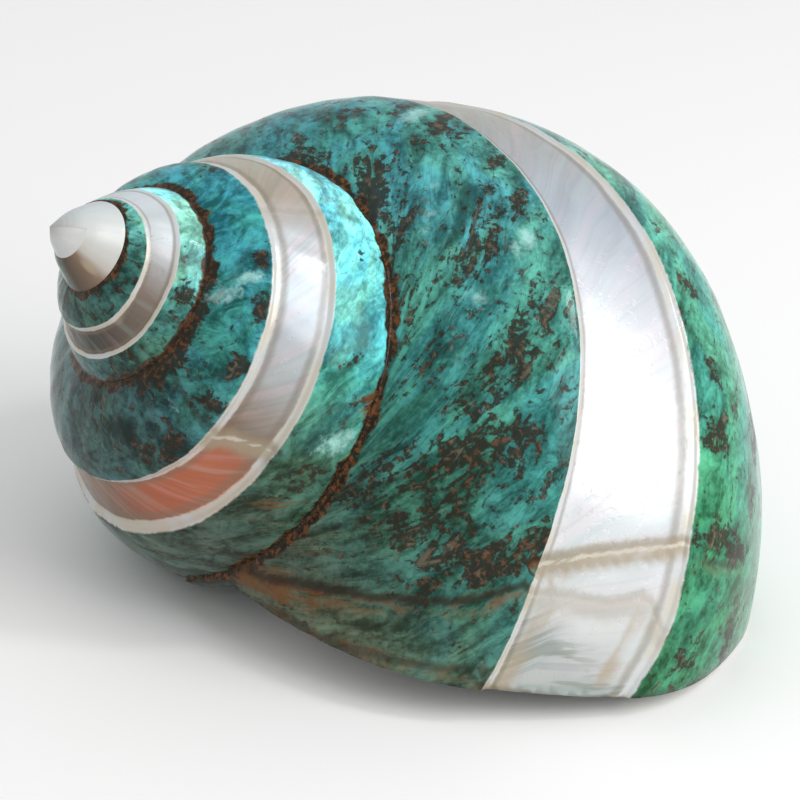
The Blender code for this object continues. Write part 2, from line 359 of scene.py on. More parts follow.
def make_winding(name, last_turn, thicker, materials):
    """The shell's outside wound up to a turn, as a filled solid, with a layer added."""
    last = round((last_turn - FIRST_TURN) * STEPS_PER_TURN)
    turns = last_turn + (np.arange(last + 1) - last) / STEPS_PER_TURN
    shares = share_rows(turns)
    rows = shares.shape[1] - 1
    turn_grid = np.repeat(turns[:, None], rows + 1, axis=1)
    if thicker:
        radius, depth = whorl_section(turn_grid, shares)
        points = place(radius + thicker, depth + thicker, turn_grid)
    else:
        points = outside_points(turn_grid, shares)

    # A whorl's lower seam is the next whorl's upper seam, so the two share their points
    vertices = list(points[:, :rows].reshape(-1, 3))
    index = np.arange((last + 1) * rows).reshape(last + 1, rows)
    seam_index = np.empty(last + 1, int)
    for i in range(last + 1):
        if i + STEPS_PER_TURN <= last:
            seam_index[i] = index[i + STEPS_PER_TURN, 0]
        else:
            seam_index[i] = len(vertices)
            vertices.append(points[i, rows])
    whorl = np.hstack([index, seam_index[:, None]])
    faces = cells(whorl)
    growth = cells(np.dstack([turn_grid, shares]))

    # The tip
    rim = [(whorl[i, 0], turns[i], 0.0) for i in range(STEPS_PER_TURN)]
    rim += [(whorl[0, j], turns[0], shares[0, j]) for j in range(rows, 0, -1)]
    tip = len(vertices)
    vertices.append(place(0.0, 0.0, FIRST_TURN))
    for a, b in zip(rim, rim[1:] + rim[:1]):
        faces.append((a[0], b[0], tip))
        growth.append((a[1:], b[1:], (FIRST_TURN, 0.0)))

    # The underside of the last turn, from its seam in to the axis
    first = last - STEPS_PER_TURN
    inward = np.arange(1, BASE_STEPS + 1) / BASE_STEPS
    base = []
    for i in range(first, last + 1):
        radius, depth = base_section(turns[i], inward)
        column = place(radius + thicker * (1.0 - inward), depth + thicker, turns[i])
        start = len(vertices)
        vertices.extend(column)
        base.append([whorl[i, rows]] + list(range(start, start + BASE_STEPS)))
    depths = np.concatenate([[0.0], inward]) + 1.0
    faces += cells(np.array(base))
    growth += cells(np.dstack(np.broadcast_arrays(turns[first:, None], depths)))

    # The flat end of the winding, closed over a point in its middle
    loop = list(whorl[last]) + base[-1][1:] + [column[-1] for column in base[-2::-1]]
    loop += base[0][-2:0:-1]
    middle = len(vertices)
    centre_radius, centre_depth = whorl_section(last_turn, END_SHARE)
    inside_radius, inside_depth = whorl_section(last_turn - 1.0, END_INSIDE_SHARE)
    vertices.append(place(
        0.5 * (centre_radius + inside_radius), 0.5 * (centre_depth + inside_depth), last_turn))
    for a, b in zip(loop, loop[1:] + loop[:1]):
        faces.append((a, b, middle))
        growth.append(((last_turn, 1.0),) * 3)
    return mesh_object(name, vertices, faces, growth, materials)


def distance_to(line, radius, depth):
    """Shortest distance from points to a line of samples, both in a half plane."""
    return np.min(np.hypot(radius[..., None] - line[0], depth[..., None] - line[1]), axis=-1)


def hollow_ring(turn):
    """The hollow's outline at a turn: as far out as the walls allow, round in the corners."""
    shares = np.linspace(0.0, 1.0, WALL_SAMPLES)
    outer = np.hstack([whorl_section(turn, shares), base_section(turn, shares)])
    inner = np.array(base_section(turn - 1.0, shares))
    size = seam(turn)[0] / seam(1.0)[0]
    thinning = np.clip((turn - THIN_FROM_TURN) / (LAST_TURN - THIN_FROM_TURN), 0.0, 1.0)
    belly = np.array(whorl_section(turn, BELLY_SHARE))
    inside = np.array(base_section(turn - 1.0, INSIDE_SHARE))
    centre = 0.5 * (belly + inside)
    reach = np.linspace(0.0, 1.0, REACH_SAMPLES) * seam(turn)[0] * LONGEST_REACH
    direction = 2 * math.pi * np.arange(HOLLOW_SIDES) / HOLLOW_SIDES
    radius = centre[0] + reach * np.cos(direction)[:, None]
    depth = centre[1] + reach * np.sin(direction)[:, None]
    room = np.minimum(
        np.minimum(distance_to(outer, radius, depth) - WALL * size,
                   distance_to(inner, radius, depth) - 2 * GLAZE),
        radius - PILLAR_RADIUS * size * (1.0 - (1.0 - THINNEST) * thinning))
    stop = np.argmax(room <= 0.0, axis=1)
    side = np.arange(HOLLOW_SIDES)
    free = room[side, stop - 1] / (room[side, stop - 1] - room[side, stop])
    lengths = reach[stop - 1] + free * (reach[stop] - reach[stop - 1])
    rounded = lengths
    for _ in range(ROUNDINGS):
        rounded = (np.roll(rounded, 1) + 2 * rounded + np.roll(rounded, -1)) / 4
    lengths = np.minimum(lengths, rounded)
    return centre, np.stack([np.cos(direction), np.sin(direction)]) * lengths


def make_hollow(material):
    """The hollow of the last whorls, from its closed end inside to past the mouth."""
    first = HOLLOW_FIRST_TURN
    last = LAST_TURN + HOLLOW_OVERRUN
    count = round((last - first) * HOLLOW_STEPS_PER_TURN)
    vertices = []
    turns = np.linspace(first, last, count + 1)[1:]
    for turn in turns:
        centre, outline = hollow_ring(turn)
        left = max(1.0 - (turn - first) / HOLLOW_TAPER, 0.0)
        outline = outline * math.sqrt(1.0 - left * left)
        vertices.extend(place(centre[0] + outline[0], centre[1] + outline[1], turn))
    rings = np.arange(count * HOLLOW_SIDES).reshape(count, HOLLOW_SIDES)
    around = LINING_SHARE + np.arange(HOLLOW_SIDES + 1) / HOLLOW_SIDES
    faces = cells(np.hstack([rings, rings[:, :1]]).T)
    growth = cells(np.dstack(np.broadcast_arrays(turns, around[:, None])))
    for end, turn in ((rings[0, ::-1], turns[0]), (rings[-1], turns[-1])):
        faces.append(end.tolist())
        growth.append(((turn, LINING_SHARE),) * HOLLOW_SIDES)
    return mesh_object("hollow_cutter", vertices, faces, growth, [material])


def make_mouth_block(material):
    """The block past the mouth's plane."""
    half = np.array(MOUTH_BLOCK) / 2
    corners = [(x, y, z) for z in (-2 * half[2], 0.0) for y in (-half[1], half[1])
               for x in (-half[0], half[0])]
    faces = [(0, 2, 3, 1), (4, 5, 7, 6), (0, 1, 5, 4), (2, 6, 7, 3), (0, 4, 6, 2), (1, 3, 7, 5)]
    return mesh_object(
        "mouth_cutter", corners, faces, [((0.0, RIM_SHARE),) * 4] * len(faces), [material])


def cut(obj, cutter):
    """Take a cutter out of an object, with the cutter's material on the cut."""
    modifier = obj.modifiers.new(cutter.name, "BOOLEAN")
    modifier.operation = "DIFFERENCE"
    modifier.solver = "EXACT"
    modifier.object = cutter
    modifier.material_mode = "TRANSFER"


# Growth lines: how far a growth line lies ahead in turns at a share, on the earlier
# whorls and on the last one
LINES_EARLIER = (
    (0.0, 0.0), (0.2, -0.03), (0.35, -0.035), (0.45, -0.06), (0.6, -0.09), (0.8, -0.13),
    (0.95, -0.15), (1.0, -0.155))
LINES_LAST = (
    (0.0, 0.145), (0.02, 0.119), (0.05, 0.098), (0.1, 0.073), (0.17, 0.045), (0.25, 0.026),
    (0.35, 0.0), (0.45, -0.027), (0.55, -0.038), (0.65, -0.049), (0.85, -0.055), (1.0, -0.06))
LINES_EARLIER_FROM = (-1.2, -0.7)
LINES_LAST_FROM = (0.50, 0.95)

# The colours along the shell's growth, as turn, red, green and blue: the stripe above the
# band, the stripe below it, and the mother of pearl. The dark stretches near turns -1.9, -1.0
# and 0.0, on the same side of every whorl, are painted shade, not the shell's own colour
UPPER_TONES_AND_SHADE = (
    (-1.8, 0.01, 0.04, 0.03), (-1.66, 0.03, 0.14, 0.1), (-1.55, 0.1, 0.38, 0.32),
    (-1.4, 0.12, 0.42, 0.34), (-1.22, 0.11, 0.35, 0.27), (-1.12, 0.01, 0.09, 0.06),
    (-0.9, 0.01, 0.05, 0.035), (-0.6, 0.02, 0.15, 0.14), (-0.45, 0.01, 0.22, 0.24),
    (-0.28, 0.01, 0.23, 0.25), (-0.1, 0.01, 0.18, 0.17), (0.02, 0.01, 0.05, 0.045),
    (0.15, 0.01, 0.04, 0.035), (0.4, 0.02, 0.16, 0.16), (0.58, 0.015, 0.21, 0.21),
    (0.72, 0.05, 0.27, 0.25), (0.8, 0.03, 0.23, 0.19), (0.86, 0.02, 0.19, 0.14),
    (0.92, 0.02, 0.11, 0.07), (0.97, 0.05, 0.065, 0.03), (1.1, 0.07, 0.065, 0.03))
LOWER_TONES_AND_SHADE = (
    (-1.8, 0.02, 0.07, 0.05), (-1.68, 0.06, 0.22, 0.17), (-1.58, 0.24, 0.6, 0.52),
    (-1.3, 0.3, 0.84, 0.76), (-1.18, 0.19, 0.56, 0.46), (-1.08, 0.03, 0.16, 0.11),
    (-0.95, 0.01, 0.05, 0.035), (-0.7, 0.05, 0.18, 0.17), (-0.5, 0.16, 0.6, 0.62),
    (-0.35, 0.24, 0.78, 0.82), (-0.22, 0.14, 0.6, 0.58), (-0.14, 0.04, 0.32, 0.27),
    (-0.07, 0.03, 0.1, 0.05), (0.03, 0.03, 0.03, 0.01), (0.3, 0.03, 0.14, 0.1),
    (0.62, 0.07, 0.34, 0.27), (0.76, 0.05, 0.31, 0.22), (0.84, 0.015, 0.2, 0.075),
    (0.92, 0.01, 0.12, 0.035), (1.1, 0.03, 0.16, 0.08))
PEARL_TONES_AND_SHADE = (
    (-3.2, 0.52, 0.52, 0.5), (-2.6, 0.58, 0.6, 0.61), (-2.4, 0.56, 0.61, 0.63),
    (-2.15, 0.62, 0.63, 0.61), (-2.06, 0.48, 0.45, 0.41), (-2.02, 0.25, 0.17, 0.12),
    (-1.92, 0.08, 0.06, 0.04), (-1.8, 0.2, 0.2, 0.18), (-1.6, 0.5, 0.58, 0.55),
    (-1.4, 0.58, 0.64, 0.68), (-1.2, 0.55, 0.58, 0.6), (-1.08, 0.22, 0.17, 0.14),
    (-0.92, 0.06, 0.05, 0.04), (-0.6, 0.24, 0.22, 0.18), (-0.46, 0.38, 0.34, 0.28),
    (-0.3, 0.4, 0.36, 0.29), (-0.265, 0.5, 0.51, 0.52), (-0.18, 0.5, 0.55, 0.6),
    (-0.1, 0.4, 0.4, 0.4), (-0.075, 0.3, 0.26, 0.23), (-0.05, 0.22, 0.15, 0.11),
    (-0.03, 0.38, 0.13, 0.075), (0.0, 0.48, 0.15, 0.08), (0.06, 0.42, 0.12, 0.06),
    (0.12, 0.24, 0.14, 0.09), (0.3, 0.36, 0.37, 0.35), (0.5, 0.5, 0.52, 0.52),
    (0.62, 0.36, 0.35, 0.31), (0.72, 0.42, 0.46, 0.52), (0.77, 0.66, 0.68, 0.72),
    (0.86, 0.66, 0.67, 0.69), (0.895, 0.63, 0.64, 0.63), (0.91, 0.46, 0.49, 0.48),
    (0.93, 0.46, 0.48, 0.46), (1.1, 0.5, 0.5, 0.47))

# How thickly dark flecks and pale spots lie over the stripes, as turn and density
FLECKS = (
    (-2.0, 0.2), (-1.6, 0.1), (-1.3, 0.22), (-1.15, 0.4), (-1.0, 0.5), (-0.6, 0.3), (-0.4, 0.22),
    (-0.2, 0.26), (0.0, 0.4), (0.3, 0.36), (0.6, 0.38), (0.75, 0.4), (0.9, 0.42), (0.95, 0.3),
    (1.1, 0.36))
FEWER_BELOW = 0.06

# Single marks: turn, share, half length along the growth lines and half width across them
# in millimetres, strength
BROWN_MARKS = (
    (0.605, 0.03, 0.8, 1.6, 0.5), (0.665, 0.05, 1.6, 1.0, 0.5), (0.685, 0.03, 1.0, 1.0, 0.5),
    (0.595, 0.17, 1.2, 0.8, 0.4), (0.65, 0.24, 2.4, 0.8, 0.35), (0.71, 0.21, 2.2, 0.9, 0.4),
    (0.8, 0.21, 2.4, 1.4, 0.45), (0.85, 0.22, 2.6, 1.6, 0.5), (0.9, 0.26, 3.4, 1.8, 0.6),
    (0.91, 0.12, 3.0, 1.2, 0.5), (0.905, 0.04, 1.4, 1.4, 0.4), (0.735, 0.03, 1.5, 1.2, 0.35),
    (0.75, 0.16, 1.6, 1.2, 0.35), (0.83, 0.16, 1.8, 1.4, 0.35), (0.87, 0.14, 1.8, 1.2, 0.4),
    (0.745, 0.69, 0.7, 0.8, 0.5), (0.78, 0.7, 0.7, 0.8, 0.5), (0.805, 0.7, 1.2, 1.1, 0.75),
    (0.615, 0.27, 1.8, 0.4, 0.38), (0.643, 0.285, 1.4, 0.45, 0.42), (0.662, 0.26, 2.0, 0.35, 0.36),
    (0.688, 0.29, 1.6, 0.4, 0.42), (0.72, 0.275, 2.0, 0.45, 0.38), (0.7, 0.885, 0.8, 3.0, 0.5),
    (0.79, 0.9, 0.8, 3.5, 0.55), (0.87, 0.885, 0.8, 2.5, 0.5), (0.84, 0.75, 2.8, 0.5, 0.6),
    (0.84, 0.83, 2.0, 0.5, 0.6), (0.885, 0.75, 1.2, 0.8, 0.5), (-0.37, 0.26, 0.8, 1.0, 0.5),
    (-0.21, 0.255, 0.8, 0.9, 0.6), (-0.15, 0.29, 0.8, 1.1, 0.6), (-0.095, 0.3, 0.9, 1.1, 0.6),
    (-0.05, 0.28, 1.2, 1.0, 0.6), (0.02, 0.32, 1.2, 2.6, 0.5), (-0.12, 0.02, 0.5, 4.5, 0.7),
    (-0.02, 0.03, 0.9, 3.5, 0.6), (-0.24, 0.8, 0.9, 0.6, 0.5), (-0.15, 0.79, 2.0, 0.4, 0.6),
    (-0.13, 0.915, 1.2, 0.5, 0.6), (-0.06, 0.84, 1.5, 2.0, 0.4), (-1.3, 0.05, 0.5, 1.0, 0.5),
    (-1.12, 0.85, 1.2, 0.8, 0.6))
PALE_MARKS = (
    (0.725, 0.085, 1.2, 1.6, 0.45), (0.77, 0.2, 1.4, 1.5, 0.35), (0.82, 0.1, 1.2, 1.5, 0.35),
    (0.63, 0.25, 2.0, 0.9, 0.9), (0.745, 0.245, 0.9, 1.0, 1.0), (0.785, 0.125, 0.8, 0.7, 0.8),
    (0.7, 0.12, 0.6, 0.6, 0.5), (0.6, 0.08, 0.5, 0.9, 0.5), (-0.15, 0.11, 1.6, 0.7, 0.8),
    (-0.185, 0.215, 1.4, 0.6, 0.8), (-0.01, 0.17, 1.0, 0.8, 0.5), (-0.095, 0.895, 1.5, 1.3, 0.8),
    (-0.3, 0.75, 0.9, 0.9, 0.5), (0.93, 0.33, 1.0, 0.8, 0.4))
RUST_MARKS = (
    (1.02, 0.02, 1.6, 3.0, 0.9), (0.99, 0.06, 2.0, 1.5, 0.7), (1.01, 0.09, 3.5, 1.5, 0.5),
    (0.975, 0.15, 4.0, 1.0, 0.5), (0.6, 0.17, 1.0, 0.6, 0.7), (-0.13, 0.96, 0.8, 1.6, 0.9),
    (-0.03, 0.88, 1.6, 2.2, 0.6), (-0.02, 0.78, 1.5, 2.5, 0.5), (-1.5, 0.02, 0.5, 0.8, 0.6),
    (0.02, 0.96, 1.0, 3.0, 0.6))
# Sand brown marks on the mother of pearl; the two at turns 0.884 and 0.902 by the band's bottom rim
# are painted shadow inside the rim
SAND_MARKS_AND_RIM_SHADOW = (
    (-0.15, 0.355, 0.5, 3.4, 0.8), (-0.4, 0.38, 3.0, 1.6, 0.3), (0.67, 0.42, 2.0, 4.0, 0.3),
    (-1.0, 0.38, 0.8, 1.4, 0.8), (0.86, 0.56, 3.5, 1.0, 0.5), (0.92, 0.6, 2.5, 1.6, 0.4),
    (0.89, 0.39, 2.0, 0.7, 0.6), (0.93, 0.405, 1.1, 7.0, 0.9), (0.99, 0.425, 1.1, 7.0, 0.9),
    (0.884, 0.6, 0.7, 1.8, 1.0), (0.902, 0.59, 0.8, 2.2, 1.0), (-2.02, 0.5, 1.2, 0.5, 0.8))
RIM_WIDTHS_TOP = (
    (-1.6, 0.2), (-1.2, 0.3), (-0.6, 0.6), (-0.4, 0.8), (-0.1, 0.8), (0.1, 0.5), (0.6, 0.35),
    (0.85, 0.35), (0.95, 0.6), (1.1, 0.5))
RIM_WIDTHS_BOTTOM = (
    (-1.6, 0.2), (-1.2, 0.3), (-0.4, 0.45), (-0.1, 0.7), (0.1, 1.0), (0.3, 0.7), (0.62, 0.8),
    (0.75, 1.1), (0.85, 1.1), (0.95, 0.8), (1.1, 0.7))

# How far a mark reaches: in turns, and in squared half sizes
MARK_TURNS = 0.3
MARK_END = 12.0

# Lights: name, heading from the viewer's side towards +X and rise in degrees, size, watts
LIGHTS = (
    ("key", 62.0, 36.0, (0.34, 0.30), 1.05),
    ("window", 80.0, 57.0, (0.06, 0.06), 0.22))
LIGHT_DISTANCE = 0.45
WORLD_STRENGTH = 0.72
FLOOR_SIZE = 4.0
FLOOR_DROP = 0.0001

# Camera: place in millimetres, the way it looks, and its lens
CAMERA_PLACE = (-0.87, -243.35, 126.22)
CAMERA_LOOK = Vector((0.0, 0.9098, -0.4152))
CAMERA_UP = Vector((-0.0795, 0.4138, 0.9069))
LENS = 143.87
SENSOR_WIDTH = 36.0
NEAREST_SEEN = 0.01


def line_offset(turn, share):
    """How far the growth line at a point lies ahead of the point's own turn."""
    shares, offsets = np.array(LINES_EARLIER).T
    earlier = np.interp(share, shares, offsets) * smooth_step(*LINES_EARLIER_FROM, turn)
    shares, offsets = np.array(LINES_LAST).T
    last = np.interp(share, shares, offsets)
    on_last = smooth_step(*LINES_LAST_FROM, turn)
    return earlier + (last - earlier) * on_last


def along_growth(rows, turn):
    """Values at turns, by straight pieces between rows of a turn and its values."""
    turns, *columns = np.array(rows).T
    return np.stack([np.interp(turn, turns, column) for column in columns], axis=-1)


def density(marks, line, share, turn):
    """Sum of soft marks that follow the growth lines, each left out far from its middle."""
    total = np.zeros_like(turn)
    length = section_length(turn)
    around = length_per_turn(turn, np.minimum(share, 1.0))
    for mark_turn, mark_share, half_length, half_width, strength in marks:
        mark_line = mark_turn - line_offset(np.array(mark_turn), np.array(mark_share))
        down = (share - mark_share) * length / half_length
        across = (line - mark_line) * around / half_width
        far = down ** 2 + across ** 2
        near = (np.abs(turn - mark_turn) < MARK_TURNS) * (far < MARK_END)
        total += strength * np.exp(-far) * near
    return total


def mark_corners(mesh):
    """Write at each corner of the mesh what the materials need to know of its place."""
    count = len(mesh.loops)
    growth = np.empty(count * 2, np.float32)
    mesh.uv_layers["growth"].data.foreach_get("uv", growth)
    turn, share = growth.reshape(-1, 2).T.astype(float)
    on_whorl = np.clip(share, 0.0, 1.0)
    line = turn - line_offset(turn, share)
    length = section_length(turn)
    line_length = 2 * math.pi * SEAM_RADIUS / RADIUS_GROWTH[0] * np.exp(RADIUS_GROWTH[0] * line)
    below_top, above_bottom = band_distances(turn, share)
    layers = {
        "lines": (line_length, share * length),
        "band": (
            below_top / along_growth(RIM_WIDTHS_TOP, turn)[:, 0],
            above_bottom / along_growth(RIM_WIDTHS_BOTTOM, turn)[:, 0]),
        "seams": (share * length, np.abs(1.0 - share) * length + NO_SEAM * uncovered(turn)),
        "crease": crease_offset(CREASES, turn, on_whorl),
        "more_crease": crease_offset(MORE_CREASES, turn, on_whorl)}
    for name, (first, second) in layers.items():
        layer = mesh.uv_layers.new(name=name)
        values = np.stack([first, second], axis=-1).astype(np.float32)
        layer.data.foreach_set("uv", values.ravel())
    upper = along_growth(UPPER_TONES_AND_SHADE, turn)
    lower = along_growth(LOWER_TONES_AND_SHADE, turn)
    is_lower = smooth_step(0.45, 0.55, share)[:, None]
    flecks = along_growth(FLECKS, turn)[:, 0]
    brown = flecks - FEWER_BELOW * is_lower[:, 0] + density(BROWN_MARKS, line, share, turn)
    # The stripe and pearl tones hold painted shade in their dark stretches near turns -1.9, -1.0
    # and 0.0
    colours = {
        "stripe_tone": upper + (lower - upper) * is_lower,
        "pearl_tone": along_growth(PEARL_TONES_AND_SHADE, turn),
        "marks": np.stack([
            brown, density(PALE_MARKS, line, share, turn),
            density(RUST_MARKS, line, share, turn)], axis=-1),
        "pearl_marks": np.stack([
            density(SAND_MARKS_AND_RIM_SHADOW, line, share, turn), np.zeros(count), np.zeros(count)], axis=-1)}
    for name, colour in colours.items():
        attribute = mesh.color_attributes.new(name, "FLOAT_COLOR", "CORNER")
        values = np.hstack([colour, np.ones((count, 1))]).astype(np.float32)
        attribute.data.foreach_set("color", values.ravel())


class Wiring:
    """Short ways to add nodes to one material."""

    def __init__(self, name):
        self.material = bpy.data.materials.new(name)
        self.material.use_nodes = True
        self.tree = self.material.node_tree
        self.shader = self.tree.nodes["Principled BSDF"]
        self.out = self.tree.nodes["Material Output"]

    def node(self, kind):
        """A new node, by the last words of its type's name."""
        return self.tree.nodes.new("ShaderNode" + kind)

    def link(self, value, socket):
        """Link a socket, or set a plain value."""
        if isinstance(value, bpy.types.NodeSocket):
            self.tree.links.new(value, socket)
        else:
            socket.default_value = value

    def math(self, operation, first, second=0.0, third=0.0):
        node = self.node("Math")
        node.operation = operation
        for socket, value in zip(node.inputs, (first, second, third)):
            self.link(value, socket)
        return node.outputs[0]

    def product(self, first, *others):
        """All the values multiplied."""
        for other in others:
            first = self.math("MULTIPLY", first, other)
        return first

    def total(self, first, *others):
        """All the values added."""
        for other in others:
            first = self.math("ADD", first, other)
        return first

    def less(self, value, taken):
        """A value less another."""
        return self.math("SUBTRACT", value, taken)

    def opposite(self, value):
        """One where a value is nothing, nothing where it is one."""
        return self.math("SUBTRACT", 1.0, value)

    def step(self, value, low, high):
        """Soft step from 0 at low to 1 at high."""
        node = self.node("MapRange")
        node.interpolation_type = "SMOOTHSTEP"
        self.link(value, node.inputs["Value"])
        self.link(low, node.inputs["From Min"])
        self.link(high, node.inputs["From Max"])
        return node.outputs["Result"]

    def line(self, value, half_width, soft):
        """One on the line where a value is zero, nothing past its half width."""
        return self.opposite(self.step(
            self.math("ABSOLUTE", value), half_width - soft, half_width + soft))

    def mix(self, factor, first, second):
        """Mix of two colours."""
        node = self.node("Mix")
        node.data_type = "RGBA"
        for index, value in ((0, factor), (6, first), (7, second)):
            if index and isinstance(value, tuple) and len(value) == 3:
                value = value + (1.0,)
            self.link(value, node.inputs[index])
        return node.outputs[2]

    def times(self, colour, tint):
        """A colour times a tint."""
        node = self.node("VectorMath")
        node.operation = "MULTIPLY"
        self.link(colour, node.inputs[0])
        self.link(tint, node.inputs[1])
        return node.outputs[0]

    def bright(self, colour, factor):
        """A colour times a number."""
        return self.times(colour, self.point(factor, factor, factor))

    def pair(self, name):
        """The two numbers kept in a UV map."""
        source = self.node("UVMap")
        source.uv_map = name
        return self.first_two(source.outputs["UV"])

    def object_place(self):
        """The first two of a point's coordinates, in metres."""
        source = self.node("TexCoord")
        return self.first_two(source.outputs["Object"])

    def first_two(self, vector):
        parts = self.node("SeparateXYZ")
        self.tree.links.new(vector, parts.inputs["Vector"])
        return parts.outputs["X"], parts.outputs["Y"]

    def colour(self, name):
        node = self.node("Attribute")
        node.attribute_name = name
        return node.outputs["Color"]

    def parts(self, colour):
        node = self.node("SeparateColor")
        self.tree.links.new(colour, node.inputs["Color"])
        return node.outputs["Red"], node.outputs["Green"], node.outputs["Blue"]

    def point(self, x, y, z=0.0):
        node = self.node("CombineXYZ")
        for socket, value in zip(node.inputs, (x, y, z)):
            self.link(value, socket)
        return node.outputs["Vector"]

    def noise_at(self, place, scale, detail=3.0, rough=0.55, bend=0.0):
        node = self.node("TexNoise")
        values = {"Vector": place, "Scale": scale, "Detail": detail, "Roughness": rough,
                  "Distortion": bend}
        for name, value in values.items():
            self.link(value, node.inputs[name])
        return node.outputs["Fac"]

    def noise(self, x, y, across, along, seed, *more):
        """Noise with features of a size across and along, in the units of x and y."""
        place_here = self.point(self.math("DIVIDE", x, across), self.math("DIVIDE", y, along), seed)
        return self.noise_at(place_here, 1.0, *more)

    def solid_noise(self, size, *more):
        """Noise in space, with features of a size in millimetres."""
        return self.noise_at(self.node("TexCoord").outputs["Object"], 1.0 / (size * MM), *more)

    def bump(self, height, distance_mm):
        """A surface direction, from a height over a distance."""
        node = self.node("Bump")
        node.inputs["Distance"].default_value = distance_mm * MM
        self.link(height, node.inputs["Height"])
        return node.outputs["Normal"]

    def set(self, **values):
        """Values of the shader, named with _ for a space."""
        for name, value in values.items():
            self.link(value, self.shader.inputs[name.replace("_", " ")])


BLACK_BROWN = (0.020, 0.016, 0.009)
RED_BROWN = (0.130, 0.050, 0.022)
RUST = (0.170, 0.065, 0.018)
PALE_AQUA = (0.42, 0.74, 0.70)
CREAM = (0.60, 0.57, 0.49)
SAND = (0.42, 0.34, 0.24)
GROOVE_SHADE_BROWN = (0.20, 0.16, 0.11)
LAYER_GREY = (0.22, 0.24, 0.20)
CREASE_SHADE_BROWN = (0.26, 0.21, 0.14)
FOLD_SHADE_BROWN = (0.36, 0.30, 0.21)
RIM_GREY = (0.60, 0.62, 0.62)
PEARL_PINK = (0.85, 0.55, 0.60)
PEARL_GREEN = (0.45, 0.70, 0.66)

# Tints, as what a colour is multiplied by
BLUER = (0.75, 0.98, 1.15)
GREENER = (1.2, 1.05, 0.92)
RIPPLE_TINT = (0.62, 0.74, 0.74)

# Noise that follows the growth lines: size across and along them in millimetres, seed,
# detail, roughness and bend
STREAKS = (2.4, 2.0, 1.0, 4.0, 0.62, 0.9)
MOTTLE = (5.0, 3.2, 2.0, 4.0, 0.6, 0.8)
TINTS = (7.0, 5.0, 9.0, 3.0, 0.55, 0.8)
VEINS = (3.2, 2.4, 10.0, 2.0, 0.5, 1.4)
FLECK_SHAPES = (2.2, 1.7, 4.0, 4.0, 0.62, 1.2)
RUST_LINES = (0.7, 6.0, 12.0, 3.0, 0.6, 0.3)
RIPPLES = (0.55, 30.0, 6.0, 2.0, 0.5)
CLOUDS = (4.0, 7.0, 7.0, 3.0, 0.5, 0.6)
HUES = (1.8, 12.0, 8.0, 2.0, 0.5, 0.4)
LAYERS = (1.1, 7.0, 13.0, 3.0, 0.6, 0.3)

# Noise in space: size in millimetres, detail, roughness and bend
GRAIN = (0.5, 3.0, 0.6)
FINE = (0.6, 3.0, 0.6, 0.5)
BLOBS = (2.0, 3.0, 0.55, 0.4)

# Millimetres along and around the hollow for its lining's noise
LINING_PER_TURN = 150.0
LINING_AROUND = 60.0

# Turns over which the colours change
CRUST_STARTS = (-2.0, -1.9)
CRUST_GROWS = (-1.7, -1.0)
CRUST_RUSTS = (0.3, 0.6)
MIDDLE_STARTS = (-1.4, -0.9)
MIDDLE_ENDS = (0.1, 0.5)
TIP_PEARL_ENDS = (-1.895, -1.875)
PEARL_GROWS_UP = (-1.7, -0.7)
LAYERS_START = (0.896, 0.910)
CREASES_RUST = (0.80, 0.88)


